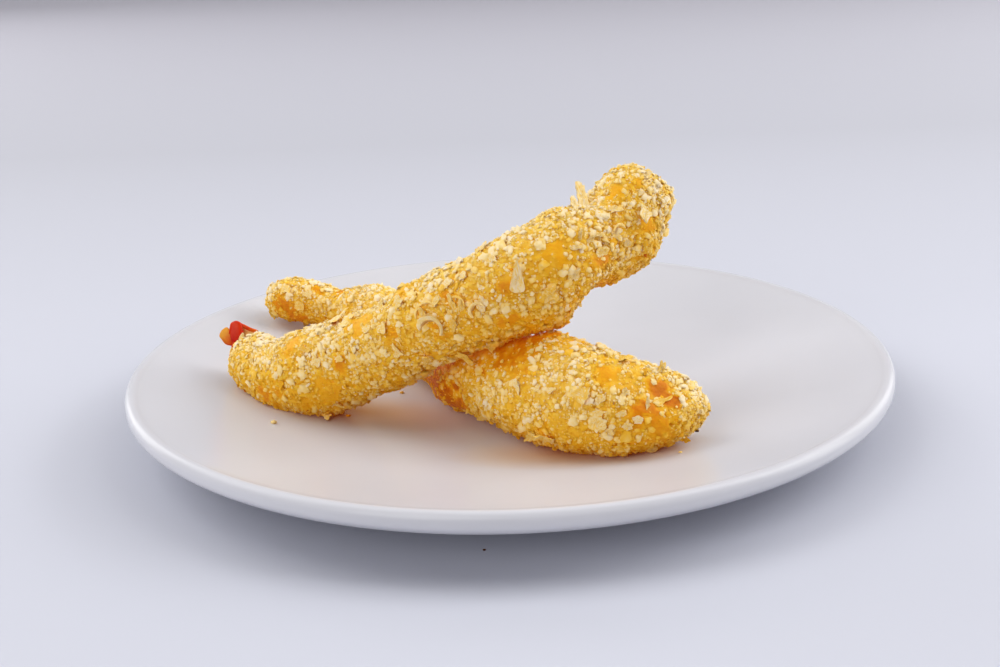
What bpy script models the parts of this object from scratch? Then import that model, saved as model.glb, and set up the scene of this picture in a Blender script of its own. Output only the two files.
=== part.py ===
"""Two crumbed shrimp tempura on a white coupe plate, one leaning across the other.

Metres, +Z up. The origin is under the plate's centre, on the surface that it stands on.
Seen from -Y, the lower shrimp runs from the back left to the front right, and the upper
one lies over it from its tail on the left to its head in the air on the right.
"""

import math
import random

import bmesh
import bpy
import numpy as np
from mathutils import Matrix, Vector, noise
from mathutils.bvhtree import BVHTree

MM = 0.001

# The plate, in millimetres
PLATE_RADIUS = 100.0
PLATE_HEIGHT = 17.0
PLATE_SIDES = 64
WELL_FLOOR = 7.5
WELL_FLAT_RADIUS = 30.0
WELL_RADII = (30.0, 50.0, 66.0, 80.0, 90.0)
LIP_WIDTH = 3.6
LIP_INNER_RADIUS = PLATE_RADIUS - LIP_WIDTH
LIP_INNER_DROP = 0.6
WALL_THICKNESS = 4.8
UNDER_RADIUS = 80.0
FOOT_RADIUS = 58.5
FOOT_WIDTH = 4.5
FOOT_HEIGHT = 2.4
FOOT_FLARE = 2.0
FOOT_TAPER = 1.0
SHARP_ANGLE = 40.0

# Section of the lip, from inside to below it: inset from the rim and drop from its top, in mm
LIP_SECTION = (
    (2.34, 0.0),
    (1.0, 0.05),
    (0.2, 0.9),
    (0.0, 2.0),
    (0.8, 4.4),
    (3.7, 6.2),
)

# The coat of both shrimp, in millimetres
GAP = 0.35
COAT_GAP = 0.9
NEAR = 5.0
SIDES = 28
RING_SPACING = 2.5
CRUMB_ALLOWANCE = 0.6
LUMP_SIZE = 9.0
LUMP_HEIGHT = 0.9
CRUMB_SIZE = 3.6
CRUMB_HEIGHT = 2.0
TIP_SHARE = 0.05
LINE_STEPS = 40

# Stations of a shrimp, from tail to head: x, y, z of its middle, half width, half height
UPPER_STATIONS = (
    (-72.2, 4.6, 18.9, 8.9, 8.9),
    (-62.5, -6.0, 16.9, 9.3, 9.2),
    (-52.4, -13.5, 18.9, 11.0, 11.1),
    (-39.9, -20.0, 25.1, 11.3, 11.5),
    (-26.5, -26.0, 31.3, 11.0, 11.0),
    (-16.3, -30.0, 36.6, 11.6, 11.8),
    (-3.9, -33.0, 42.1, 12.2, 12.2),
    (5.9, -32.5, 47.1, 12.3, 12.6),
    (13.7, -30.0, 50.1, 12.3, 12.5),
    (21.4, -24.0, 54.0, 10.6, 10.8),
    (29.2, -18.0, 56.2, 11.3, 11.3),
    (36.2, -13.0, 57.6, 10.8, 10.9),
    (42.0, -9.4, 58.6, 10.2, 10.4),
)
LOWER_STATIONS = (
    (-71.6, 47.8, 20.6, 7.7, 7.2),
    (-60.2, 46.4, 19.5, 7.8, 7.3),
    (-50.9, 42.4, 18.5, 7.3, 7.3),
    (-39.3, 34.3, 17.5, 8.8, 8.6),
    (-30.3, 21.6, 17.3, 9.8, 9.4),
    (-21.3, 7.3, 17.3, 9.8, 9.4),
    (-12.2, -7.0, 17.6, 11.2, 10.0),
    (-2.3, -25.0, 19.0, 13.6, 11.6),
    (8.5, -38.1, 20.0, 14.4, 12.6),
    (18.9, -46.0, 20.3, 14.0, 12.9),
    (29.2, -49.0, 19.8, 13.0, 12.2),
    (38.7, -47.8, 18.5, 12.6, 11.8),
    (46.9, -47.0, 17.8, 12.0, 11.2),
)
UPPER_ROUNDING = (10.0, 10.0)
LOWER_ROUNDING = (6.0, 20.0)

# Swellings and dents of the coat: place along in mm, turn in degrees, reach and height in mm
UPPER_SWELLS = (
    (14.0, -80.0, 8.0, 1.1),
    (26.0, -82.0, 9.0, 1.5),
    (37.0, -78.0, 7.0, 2.2),
    (54.0, -76.0, 8.0, 2.6),
    (50.0, 95.0, 9.0, -1.2),
    (64.0, 90.0, 6.0, 0.9),
    (80.0, 88.0, 7.0, 0.6),
    (91.0, 90.0, 5.0, 0.3),
    (99.0, -68.0, 6.0, 3.4),
    (105.5, -62.0, 3.4, -4.6),
    (109.0, 88.0, 4.0, 1.7),
    (111.5, -70.0, 4.0, 1.8),
    (118.0, 95.0, 3.2, -2.4),
    (120.0, -72.0, 6.0, 3.0),
    (128.0, 88.0, 5.5, 3.2),
    (130.5, -70.0, 5.0, 1.8),
    (138.5, -20.0, 5.0, -2.6),
    (139.5, -45.0, 5.0, -3.0),
)
LOWER_SWELLS = (
    (12.0, 60.0, 5.0, 0.8),
    (24.0, 80.0, 4.0, -0.6),
    (37.0, 95.0, 6.0, 2.8),
    (90.0, -62.0, 6.0, 1.6),
    (94.0, -40.0, 7.0, 1.4),
    (104.0, -10.0, 2.6, -1.8),
    (112.0, 70.0, 8.0, 1.2),
    (124.0, 98.0, 4.5, 2.6),
    (128.0, -60.0, 7.0, 1.3),
    (135.0, 92.0, 6.0, 0.9),
    (142.0, -35.0, 8.0, 1.2),
    (150.0, 36.0, 4.2, -2.8),
    (151.0, 80.0, 6.0, -1.4),
    (162.0, 62.0, 5.0, -1.8),
)

# Crumb flakes, in millimetres and degrees
FLAKE_CORNERS = 5
FLAKE_UNEVENNESS = 0.25
FLAKE_BEND = 0.06
FLAKE_SINK = 0.35
FLAKE_ROOT_SHARE = 0.2
FLAKE_LENGTHS = (3.2, 5.2)
FLAKE_WIDTH_SHARE = 0.7
FLAKE_THICKNESS = 1.0
FLAKE_TILTS = (6.0, 30.0)
FLAKE_TURNS = (-50.0, 230.0)
FREE_ENDS = (6.0, 8.0)
SCATTERED_FLAKES = 40
PLACE_SPACING = 1.0
CAST_REACH = 40.0

# Flakes that stand out most: place along, turn, length, width, tilt off the coat, heading
UPPER_SHOWN_FLAKES = (
    (114.5, 84.0, 7.0, 4.6, 72.0, 90.0),
    (92.5, 22.0, 9.6, 3.8, 30.0, 80.0),
    (72.4, 11.0, 6.8, 4.8, 38.0, 20.0),
    (124.9, 19.5, 6.4, 3.6, 30.0, 10.0),
    (42.0, 80.0, 7.6, 5.6, 14.0, 10.0),
    (31.5, -74.0, 4.6, 3.4, 42.0, 60.0),
)
LOWER_SHOWN_FLAKES = (
    (136.2, 34.0, 6.4, 6.0, 18.0, 30.0),
    (138.7, -2.6, 5.0, 4.4, 24.0, 120.0),
    (129.0, -38.0, 6.0, 4.4, 24.0, 200.0),
    (151.0, 88.0, 3.6, 2.6, 60.0, 90.0),
)

# The red tail that shows at the end of the upper shrimp's coat, in millimetres: root, tip and
# width of each blade
TAIL_BLADES = (
    ((-72.8, 3.4, 20.4), (-77.2, 4.2, 24.2), 4.2),
    ((-72.4, 3.7, 19.4), (-72.8, 4.3, 27.3), 4.4),
    ((-71.4, 4.2, 19.4), (-69.6, 5.0, 25.0), 3.8),
    ((-70.6, 4.7, 20.6), (-67.6, 5.2, 24.4), 1.7),
    ((-72.6, 2.6, 21.0), (-74.6, 2.2, 15.4), 2.2),
)
TAIL_THICKNESS = 1.3
TAIL_BOW = 0.7
TAIL_ROOT_SHARE = 0.55
TAIL_WIDENING = 1.6
TAIL_SQUARENESS = 7
TAIL_THINNING = 0.5
TAIL_TIP_SHARE = 0.25
TAIL_RINGS = 8
TAIL_SIDES = 8

# Finishes: colour in linear red, green and blue, and roughness
GLAZE_COLOUR = (0.80, 0.79, 0.80)
GLAZE_ROUGHNESS = 0.25
CRUST_COLOUR = (0.80, 0.56, 0.22)
CRUST_ROUGHNESS = 0.6
SHELL_COLOUR = (0.62, 0.07, 0.02)
SHELL_ROUGHNESS = 0.35


def finish(name, colour, roughness):
    """A Principled material with the sub-part's own colour."""
    material = bpy.data.materials.new(name)
    material.use_nodes = True
    shader = material.node_tree.nodes["Principled BSDF"]
    shader.inputs["Base Color"].default_value = (*colour, 1.0)
    shader.inputs["Roughness"].default_value = roughness
    shader.inputs["Metallic"].default_value = 0.0
    return material


def object_from(name, bm, material):
    """Puts a bmesh, made in millimetres, into the scene as an object in metres."""
    bmesh.ops.scale(bm, vec=(MM, MM, MM), verts=bm.verts)
    bmesh.ops.recalc_face_normals(bm, faces=bm.faces)
    mesh = bpy.data.meshes.new(name)
    bm.to_mesh(mesh)
    bm.free()
    mesh.shade_smooth()
    mesh.materials.append(material)
    made = bpy.data.objects.new(name, mesh)
    bpy.context.scene.collection.objects.link(made)
    return made


def surface_of(thing):
    """A search tree over an object's faces, in millimetres."""
    bm = bmesh.new()
    bm.from_mesh(thing.data)
    bmesh.ops.scale(bm, vec=(1.0 / MM, 1.0 / MM, 1.0 / MM), verts=bm.verts)
    tree = BVHTree.FromBMesh(bm)
    bm.free()
    return tree


def is_clear(tree, point):
    """Whether a point lies outside a surface, and no nearer to it than the gap."""
    nearest, normal, _, distance = tree.find_nearest(point)
    return distance > NEAR or (distance > GAP and (point - nearest).dot(normal) > 0.0)


def combine(thing, others, operation):
    """Joins objects to a thing, or cuts them from it, keeps its largest body and removes them."""
    group = bpy.data.collections.new(thing.name + "_parts")
    bpy.context.scene.collection.children.link(group)
    for other in others:
        bpy.context.scene.collection.objects.unlink(other)
        group.objects.link(other)
    change = thing.modifiers.new("combine", "BOOLEAN")
    change.operation = operation
    change.operand_type = "COLLECTION"
    change.collection = group
    change.solver = "EXACT"
    bpy.context.view_layer.objects.active = thing
    bpy.ops.object.modifier_apply(modifier=change.name)
    for other in others:
        bpy.data.objects.remove(other)
    bpy.data.collections.remove(group)
    keep_largest(thing)


def keep_largest(thing):
    """Removes loose scraps and sealed hollows, which are bodies smaller than the thing itself."""
    bm = bmesh.new()
    bm.from_mesh(thing.data)
    left = set(bm.verts)
    bodies = []
    while left:
        body = {left.pop()}
        edge = list(body)
        while edge:
            vert = edge.pop()
            for link in vert.link_edges:
                other = link.other_vert(vert)
                if other in left:
                    left.remove(other)
                    body.add(other)
                    edge.append(other)
        bodies.append(body)
    bodies.sort(key=len)
    scraps = [vert for body in bodies[:-1] for vert in body]
    bmesh.ops.delete(bm, geom=scraps, context="VERTS")
    bmesh.ops.triangulate(bm, faces=bm.faces)
    bm.to_mesh(thing.data)
    bm.free()
    thing.data.shade_smooth()


def well_height(radius):
    """Height of the plate's upper face: flat in the middle, then a parabola up to the lip."""
    share = max(0.0, (radius - WELL_FLAT_RADIUS) / (LIP_INNER_RADIUS - WELL_FLAT_RADIUS))
    return WELL_FLOOR + (PLATE_HEIGHT - LIP_INNER_DROP - WELL_FLOOR) * share**2


def plate_profile():
    """The plate's section: from its middle out over the lip, and back along its underside."""
    well_radii = (*WELL_RADII, LIP_INNER_RADIUS)
    well = [(0.0, WELL_FLOOR)] + [(radius, well_height(radius)) for radius in well_radii]
    lip = [(PLATE_RADIUS - inset, PLATE_HEIGHT - drop) for inset, drop in LIP_SECTION]
    under = [
        (UNDER_RADIUS, well_height(UNDER_RADIUS) - WALL_THICKNESS),
        (FOOT_RADIUS + FOOT_FLARE, well_height(FOOT_RADIUS) - WALL_THICKNESS),
        (FOOT_RADIUS, 0.0),
        (FOOT_RADIUS - FOOT_WIDTH, 0.0),
        (FOOT_RADIUS - FOOT_WIDTH - FOOT_TAPER, FOOT_HEIGHT),
        (0.0, FOOT_HEIGHT),
    ]
    return well + lip + under


def make_plate():
    """The plate's section spun about +Z."""
    bm = bmesh.new()
    points = [bm.verts.new((radius, 0.0, height)) for radius, height in plate_profile()]
    edges = [bm.edges.new(pair) for pair in zip(points, points[1:])]
    bmesh.ops.spin(
        bm,
        geom=points + edges,
        axis=(0.0, 0.0, 1.0),
        cent=(0.0, 0.0, 0.0),
        steps=PLATE_SIDES,
        angle=2.0 * math.pi,
        use_merge=True,
    )
    bmesh.ops.remove_doubles(bm, verts=bm.verts, dist=0.01)
    plate = object_from("plate", bm, finish("white_glaze", GLAZE_COLOUR, GLAZE_ROUGHNESS))
    plate.data.set_sharp_from_angle(angle=math.radians(SHARP_ANGLE))
    return plate


def smooth_line(stations, spacing):
    """Catmull-Rom curve through the stations: places along it in mm, and its rows there."""
    rows = np.array(stations, float)
    padded = np.vstack([2 * rows[0] - rows[1], rows, 2 * rows[-1] - rows[-2]])
    fine = []
    for a, b, c, d in zip(padded, padded[1:], padded[2:], padded[3:]):
        t = np.linspace(0.0, 1.0, LINE_STEPS, endpoint=False)[:, None]
        bend = (2 * a - 5 * b + 4 * c - d) * t**2 + (3 * b - a - 3 * c + d) * t**3
        fine.append(0.5 * (2 * b + (c - a) * t + bend))
    fine = np.vstack([*fine, rows[-1:]])
    along = np.r_[0.0, np.cumsum(np.linalg.norm(np.diff(fine[:, :3], axis=0), axis=1))]
    places = np.linspace(0.0, along[-1], round(along[-1] / spacing) + 1)
    return places, np.stack([np.interp(places, along, column) for column in fine.T], axis=1)


def end_shares(places, rounding):
    """Share of the full section at each place: a quarter ellipse at the tail and at the head."""
    tail = np.clip(places / rounding[0], 0.0, 1.0)
    head = np.clip((places[-1] - places) / rounding[1], 0.0, 1.0)
    return np.sqrt(1.0 - (1.0 - tail) ** 2) * np.sqrt(1.0 - (1.0 - head) ** 2)


def axes_across(middles):
    """Unit vectors to the side and upwards at each ring, square to the shrimp's own line."""
    ahead = np.gradient(middles, axis=0)
    side = np.cross(ahead, (0.0, 0.0, 1.0))
    up = np.cross(side, ahead)
    return side / np.linalg.norm(side, axis=1)[:, None], up / np.linalg.norm(up, axis=1)[:, None]


def swell_height(swells, place, turn, radius):
    """Sum of the swellings and dents at a place along and a turn around the shrimp."""
    total = 0.0
    for along, middle, reach, height in swells:
        around = math.radians((math.degrees(turn) - middle + 180.0) % 360.0 - 180.0) * radius
        total += height * math.exp(-0.5 * ((place - along) ** 2 + around**2) / reach**2)
    return total


def crumb_height(point, seed):
    """How far the crumbs stand out at a point: soft lumps under cells with domed tops."""
    offset = Vector((7.3, 3.1, 5.7)) * seed
    lump = noise.noise(Vector(point) / LUMP_SIZE + offset)
    cell = noise.voronoi(Vector(point) / CRUMB_SIZE + offset)[0][0]
    return LUMP_HEIGHT * lump + CRUMB_HEIGHT * (0.5 - cell)


def settle(point, below):
    """Lifts a point off the plate's upper face, and out of the shrimp that lies below."""
    point.z = max(point.z, well_height(math.hypot(point.x, point.y)) + GAP)
    if below:
        nearest, normal, _, distance = below.find_nearest(point)
        depth = (point - nearest).dot(normal)
        if distance < NEAR and depth < COAT_GAP:
            point += normal * (COAT_GAP - depth)
    return point


def make_coat(name, stations, rounding, swells, seed, material, below=None):
    """The crumbed body: rings along the shrimp's line, closed by a point at either end."""
    places, rows = smooth_line(stations, RING_SPACING)
    shares = np.maximum(end_shares(places, rounding), TIP_SHARE)
    side, up = axes_across(rows[:, :3])
    bm = bmesh.new()
    rings = []
    for i, place in enumerate(places):
        ring = []
        for j in range(SIDES):
            turn = 2.0 * math.pi * (j + 0.5 * (i % 2)) / SIDES
            out = side[i] * math.cos(turn) * rows[i, 3] + up[i] * math.sin(turn) * rows[i, 4]
            radius = np.linalg.norm(out)
            stand = crumb_height(rows[i, :3] + out, seed) - CRUMB_ALLOWANCE
            stand += swell_height(swells, place, turn, radius)
            point = Vector(rows[i, :3] + out * shares[i] * (1.0 + stand / radius))
            ring.append(bm.verts.new(settle(point, below)))
        rings.append(ring)
    for one, other in zip(rings, rings[1:]):
        for j in range(SIDES):
            k = (j + 1) % SIDES
            bm.faces.new((one[j], one[k], other[k], other[j]))
    for ring in (rings[0], rings[-1]):
        tip = bm.verts.new(sum((vert.co for vert in ring), Vector()) / SIDES)
        for j in range(SIDES):
            bm.faces.new((ring[j], ring[(j + 1) % SIDES], tip))
    bmesh.ops.triangulate(bm, faces=bm.faces)
    return object_from(name, bm, material)


def flake_mesh(length, width, draw):
    """A thin chip with uneven corners, bent a little, its root at the origin, along +X."""
    bm = bmesh.new()
    rings = []
    for height in (-0.5, 0.5):
        ring = []
        for corner in range(FLAKE_CORNERS):
            uneven = draw.uniform(-FLAKE_UNEVENNESS, FLAKE_UNEVENNESS)
            turn = 2.0 * math.pi * (corner + uneven) / FLAKE_CORNERS
            x = length * (0.5 + 0.5 * math.cos(turn) - FLAKE_ROOT_SHARE)
            y = 0.5 * width * math.sin(turn)
            bend = FLAKE_BEND * (x - 0.5 * length) ** 2
            ring.append(bm.verts.new((x, y, bend + height * FLAKE_THICKNESS)))
        rings.append(ring)
    bm.faces.new(rings[0])
    bm.faces.new(rings[1])
    for j in range(FLAKE_CORNERS):
        k = (j + 1) % FLAKE_CORNERS
        bm.faces.new((rings[0][j], rings[0][k], rings[1][k], rings[1][j]))
    return bm


def stand_on(tree, middle, out):
    """Where a line from outside towards the shrimp's middle meets its coat, and the normal there."""
    hit, normal, _, _ = tree.ray_cast(Vector(middle + out * CAST_REACH), Vector(-out))
    return hit, normal


def add_flakes(coat, stations, shown, neighbours, seed):
    """Fuses the shown flakes and scattered ones to the coat, each clear of what lies near it."""
    draw = random.Random(seed)
    places, rows = smooth_line(stations, PLACE_SPACING)
    side, up = axes_across(rows[:, :3])
    tree = surface_of(coat)
    wanted = list(shown)
    for _ in range(SCATTERED_FLAKES):
        length = draw.uniform(*FLAKE_LENGTHS)
        along = draw.uniform(FREE_ENDS[0], places[-1] - FREE_ENDS[1])
        lie = draw.uniform(*FLAKE_TILTS), draw.uniform(0.0, 360.0)
        turn = draw.uniform(*FLAKE_TURNS)
        wanted.append((along, turn, length, FLAKE_WIDTH_SHARE * length, *lie))
    flakes = []
    for number, (along, turn, length, width, tilt, heading) in enumerate(wanted):
        i = int(np.searchsorted(places, along))
        angle = math.radians(turn)
        out = side[i] * math.cos(angle) + up[i] * math.sin(angle)
        hit, normal = stand_on(tree, rows[i, :3], out)
        ahead = Vector(np.cross(up[i], side[i]))
        ahead = (ahead - normal * ahead.dot(normal)).normalized()
        ahead.rotate(Matrix.Rotation(math.radians(heading), 3, normal))
        lean = ahead * math.cos(math.radians(tilt)) + normal * math.sin(math.radians(tilt))
        across = normal.cross(ahead)
        axes = Matrix((lean, across, lean.cross(across))).transposed().to_4x4()
        bm = flake_mesh(length, width, draw)
        bmesh.ops.transform(bm, matrix=axes, verts=bm.verts)
        bmesh.ops.translate(bm, vec=hit - normal * FLAKE_SINK, verts=bm.verts)
        corners = [vert.co for vert in bm.verts]
        if all(is_clear(other, corner) for other in neighbours for corner in corners):
            flakes.append(object_from(f"flake_{number}", bm, coat.data.materials[0]))
        else:
            bm.free()
    combine(coat, flakes, "UNION")


def blade_width(share):
    """Share of a blade's full width: narrower at its root, widest past its middle, round at its tip."""
    swell = TAIL_ROOT_SHARE + (1.0 - TAIL_ROOT_SHARE) * math.sin(0.5 * math.pi * min(1.0, TAIL_WIDENING * share))
    return max(TAIL_TIP_SHARE, swell * math.sqrt(max(0.0, 1.0 - share**TAIL_SQUARENESS)))


def blade_mesh(root, tip, width):
    """One blade: flat ovals carried from its root to its tip, bowed a little."""
    root = Vector(root)
    lean = Vector(tip) - root
    across = lean.cross((0.0, 1.0, 0.0)).normalized()
    through = lean.cross(across).normalized()
    bm = bmesh.new()
    rings = []
    for i in range(TAIL_RINGS):
        share = i / (TAIL_RINGS - 1)
        wide = 0.5 * width * blade_width(share)
        thick = 0.5 * TAIL_THICKNESS * (1.0 - TAIL_THINNING * share)
        bend = through * TAIL_BOW * math.sin(math.pi * share)
        ring = []
        for j in range(TAIL_SIDES):
            turn = 2.0 * math.pi * j / TAIL_SIDES
            out = across * wide * math.cos(turn) + through * thick * math.sin(turn)
            ring.append(bm.verts.new(root + lean * share + bend + out))
        rings.append(ring)
    bm.faces.new(rings[0])
    bm.faces.new(rings[-1])
    for one, other in zip(rings, rings[1:]):
        for j in range(TAIL_SIDES):
            k = (j + 1) % TAIL_SIDES
            bm.faces.new((one[j], one[k], other[k], other[j]))
    return bm


def make_tail(coat):
    """Red blades that fan out of the coat's end, cut off just clear of the coat."""
    red = finish("red_tail_shell", SHELL_COLOUR, SHELL_ROUGHNESS)
    blades = [
        object_from(f"blade_{number}", blade_mesh(*blade), red)
        for number, blade in enumerate(TAIL_BLADES)
    ]
    tail = blades[0]
    tail.name = "upper_tail"
    combine(tail, blades[1:], "UNION")
    bm = bmesh.new()
    bm.from_mesh(coat.data)
    bm.normal_update()
    for vert, normal in [(vert, vert.normal.copy()) for vert in bm.verts]:
        vert.co += normal * GAP * MM
    bmesh.ops.scale(bm, vec=(1.0 / MM, 1.0 / MM, 1.0 / MM), verts=bm.verts)
    combine(tail, [object_from("coat_room", bm, red)], "DIFFERENCE")
    return tail


def main():
    for old in list(bpy.data.objects):
        bpy.data.objects.remove(old)
    plate = make_plate()
    crust = finish("fried_crumb", CRUST_COLOUR, CRUST_ROUGHNESS)
    lower = make_coat("lower_shrimp", LOWER_STATIONS, LOWER_ROUNDING, LOWER_SWELLS, 2, crust)
    below = surface_of(lower)
    upper = make_coat("upper_shrimp", UPPER_STATIONS, UPPER_ROUNDING, UPPER_SWELLS, 1, crust, below)
    tail = make_tail(upper)
    around = [surface_of(plate), surface_of(upper)]
    add_flakes(lower, LOWER_STATIONS, LOWER_SHOWN_FLAKES, around, 5)
    around = [surface_of(plate), surface_of(lower), surface_of(tail)]
    add_flakes(upper, UPPER_STATIONS, UPPER_SHOWN_FLAKES, around, 9)


main()
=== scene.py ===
import math

import bmesh
import bpy
import numpy as np
from mathutils import Matrix


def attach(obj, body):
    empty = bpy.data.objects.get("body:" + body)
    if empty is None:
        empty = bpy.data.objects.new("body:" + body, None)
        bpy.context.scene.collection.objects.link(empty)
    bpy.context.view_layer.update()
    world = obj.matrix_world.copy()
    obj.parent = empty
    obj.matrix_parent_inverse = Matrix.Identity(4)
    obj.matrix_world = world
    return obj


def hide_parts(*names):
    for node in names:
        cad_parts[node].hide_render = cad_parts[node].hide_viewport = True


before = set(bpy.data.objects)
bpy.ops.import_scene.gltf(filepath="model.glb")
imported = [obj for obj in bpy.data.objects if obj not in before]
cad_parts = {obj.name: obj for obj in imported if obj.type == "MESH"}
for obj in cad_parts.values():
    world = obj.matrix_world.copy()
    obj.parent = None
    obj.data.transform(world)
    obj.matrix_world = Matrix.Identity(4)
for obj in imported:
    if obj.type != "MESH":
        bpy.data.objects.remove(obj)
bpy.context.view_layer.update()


# The plate. A round coupe plate of white porcelain, pressed, glazed all over and fired, with a
# soft lip at its rim and a foot ring under it, whose unglazed edge it stands on. 200 mm across.

MM = 0.001
PLATE_RADIUS = 100.0
PLATE_HEIGHT = 17.0
PLATE_SIDES = 320
WELL_FLOOR = 7.5
WELL_FLAT_RADIUS = 30.0
LIP_WIDTH = 3.6
LIP_INNER_RADIUS = PLATE_RADIUS - LIP_WIDTH
LIP_INNER_DROP = 0.6
WALL_THICKNESS = 4.8
FOOT_RADIUS = 58.5
FOOT_WIDTH = 4.5
FOOT_HEIGHT = 2.4
UNGLAZED_HEIGHT = 0.25
GLAZE_WHITE = "#D3D3D9"
GLAZE_SHADE = "#CFCFD5"
FOOT_WHITE = "#C9C4BE"

# Painted warm shadows beside the shrimp, light bounced off their coats painted on the glaze: middle and
# reach in mm, and turn in degrees
PAINTED_WARM_SHADOWS = (((-39, -16, 8), (34, 13, 50), -18), ((16, -50, 8), (32, 13, 50), 0))
# Tint and strength of the painted warm shadow
PAINTED_SHADOW_TINT = "#D6AE7C"
PAINTED_SHADOW_STRENGTH = 0.9


def linear(colour):
    """An sRGB hex colour as linear red, green, blue and alpha 1."""
    parts = [int(colour[i : i + 2], 16) / 255 for i in (1, 3, 5)]
    return (*((v / 12.92) if v <= 0.04045 else ((v + 0.055) / 1.055) ** 2.4 for v in parts), 1)


def add_node(tree, kind, settings=None, stops=(), **links):
    """Adds a shader node, sets its settings and colour stops, pairs of place and sRGB hex colour, and links
    or sets each input, named by its name or by n and its number. A node stands for its first output."""
    node = tree.nodes.new("ShaderNode" + kind)
    for name, value in (settings or {}).items():
        setattr(node, name, value)
    for number, (place, colour) in enumerate(stops):
        elements = node.color_ramp.elements
        element = elements[number] if number < len(elements) else elements.new(place)
        element.position, element.color = place, linear(colour)
    for name, value in links.items():
        key = int(name[1:]) if name[0] == "n" and name[1:].isdigit() else name.replace("_", " ")
        if isinstance(value, bpy.types.Node):
            value = value.outputs[0]
        if isinstance(value, bpy.types.NodeSocket):
            tree.links.new(value, node.inputs[key])
        else:
            node.inputs[key].default_value = value
    return node


def new_material(name):
    """A material with only its output, its tree, and the socket of each point's place."""
    material = bpy.data.materials.new(name)
    material.use_nodes = True
    tree = material.node_tree
    tree.nodes.clear()
    add_node(tree, "OutputMaterial")
    return material, tree, add_node(tree, "TexCoord").outputs["Object"]


def finish_material(material, shader):
    """The material, with a shader linked to its output."""
    tree = material.node_tree
    tree.links.new(shader.outputs["BSDF"], tree.nodes["Material Output"].inputs["Surface"])
    return material


def scene_object(name, data):
    """A new object of some data, in the scene."""
    made = bpy.data.objects.new(name, data)
    bpy.context.scene.collection.objects.link(made)
    return made


def make_object(name, points, material, quads=(), triangles=()):
    """A smooth mesh object of points in mm, with its quads and triangles as point numbers."""
    mesh = bpy.data.meshes.new(name)
    corners = np.concatenate([np.ravel(quads), np.ravel(triangles)]).astype(np.int32)
    starts = np.concatenate([np.arange(len(quads)) * 4, len(quads) * 4 + np.arange(len(triangles)) * 3])
    mesh.vertices.add(len(points))
    mesh.vertices.foreach_set("co", np.ravel(points * MM).astype(np.float32))
    mesh.loops.add(len(corners))
    mesh.loops.foreach_set("vertex_index", corners)
    mesh.polygons.add(len(starts))
    mesh.polygons.foreach_set("loop_start", starts.astype(np.int32))
    mesh.polygons.foreach_set("use_smooth", np.ones(len(starts), bool))
    mesh.update(calc_edges=True)
    mesh.validate()
    mesh.materials.append(material)
    return scene_object(name, mesh)


def turns(count):
    """Evenly spaced turns round a circle, in radians."""
    return np.linspace(0, 2 * np.pi, count, endpoint=False)


def tube_faces(rings, sides):
    """Quads between neighbouring rings of a closed tube."""
    ring, side = np.meshgrid(np.arange(rings - 1), np.arange(sides), indexing="ij")
    here, beside = ring * sides + side, ring * sides + (side + 1) % sides
    return np.stack([here, beside, beside + sides, here + sides], -1).reshape(-1, 4)


def pole_faces(ring_start, sides, pole, flip):
    """Triangles from one ring to a pole point, turned over where flip is true."""
    here = ring_start + np.arange(sides)
    beside = ring_start + (np.arange(sides) + 1) % sides
    pole_column = np.full(sides, pole)
    return np.stack([beside, here, pole_column] if flip else [here, beside, pole_column], -1)


def end_faces(rings, sides):
    """Triangles that close both ends of a tube, each to a point numbered after the rings."""
    count = rings * sides
    return np.vstack([pole_faces(0, sides, count, True), pole_faces(count - sides, sides, count + 1, False)])


def well_height(radius):
    """Height of the plate's upper face: flat in the middle, then a parabola up to the lip."""
    share = np.clip((radius - WELL_FLAT_RADIUS) / (LIP_INNER_RADIUS - WELL_FLAT_RADIUS), 0, None)
    return WELL_FLOOR + (PLATE_HEIGHT - LIP_INNER_DROP - WELL_FLOOR) * share**2


def smooth_curve(corners, steps):
    """A Catmull-Rom curve through rows of numbers, with a number of steps from each to the next."""
    rows = np.array(corners, float)
    padded = np.vstack([2 * rows[0] - rows[1], rows, 2 * rows[-1] - rows[-2]])
    t = np.linspace(0, 1, steps, endpoint=False)[:, None]
    fine = []
    for a, b, c, d in zip(padded, padded[1:], padded[2:], padded[3:]):
        bend = (2 * a - 5 * b + 4 * c - d) * t**2 + (3 * b - a - 3 * c + d) * t**3
        fine.append(0.5 * (2 * b + (c - a) * t + bend))
    return np.vstack([*fine, rows[-1:]])


def lengths_along(points):
    """The way along a line of points from its start to each of them."""
    return np.r_[0, np.cumsum(np.linalg.norm(np.diff(points, axis=0), axis=1))]


def rounded(corners, spacing):
    """A smooth curve through the corners of a profile, sampled evenly at a spacing in mm."""
    fine = smooth_curve(corners, 24)
    along = lengths_along(fine)
    even = np.linspace(0, along[-1], round(along[-1] / spacing) + 1)
    return np.stack([np.interp(even, along, column) for column in fine.T], -1)


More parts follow.
